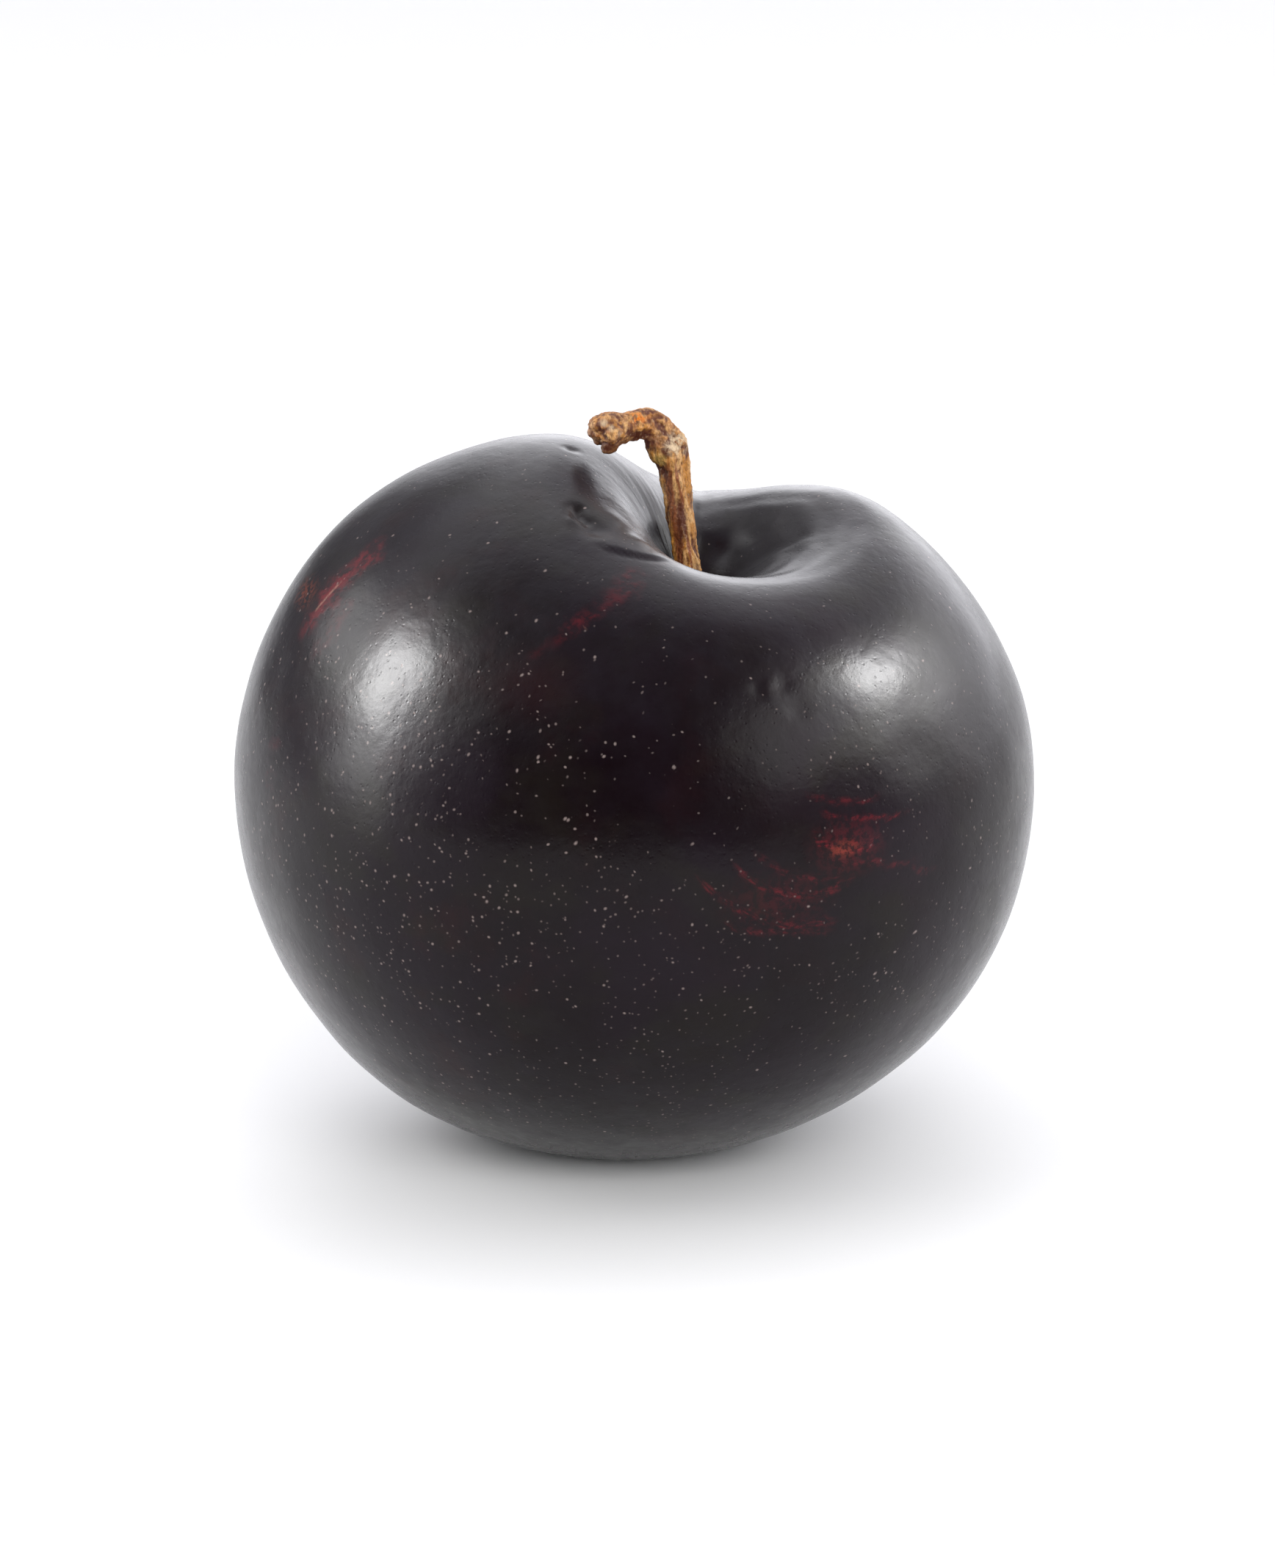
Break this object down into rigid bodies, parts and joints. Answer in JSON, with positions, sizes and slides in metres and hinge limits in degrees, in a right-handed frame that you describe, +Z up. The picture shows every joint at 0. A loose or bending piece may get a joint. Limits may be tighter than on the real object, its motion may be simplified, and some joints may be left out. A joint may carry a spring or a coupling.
{
  "type": "plum",
  "caption": "Ripe dark plum, round and slightly squat, with uneven shoulders round a deep stalk cavity, a seam down the back and a short hooked woody stalk. It rests on a small flat spot.",
  "frame": {"origin": "centre of the small flat spot that the plum rests on", "axes": "+Z up out of the surface it rests on, +X to the plum's right along its greatest width, -Y towards its front"},
  "size_m": [0.0653, 0.0605, 0.0615],
  "materials": {
    "skin": "waxy gloss of ripe plum skin, with small pale dots",
    "bark": "dry ridged bark"
  },
  "bodies": {
    "root": {"fruit": "skin", "stalk": "bark"}
  },
  "joints": []
}
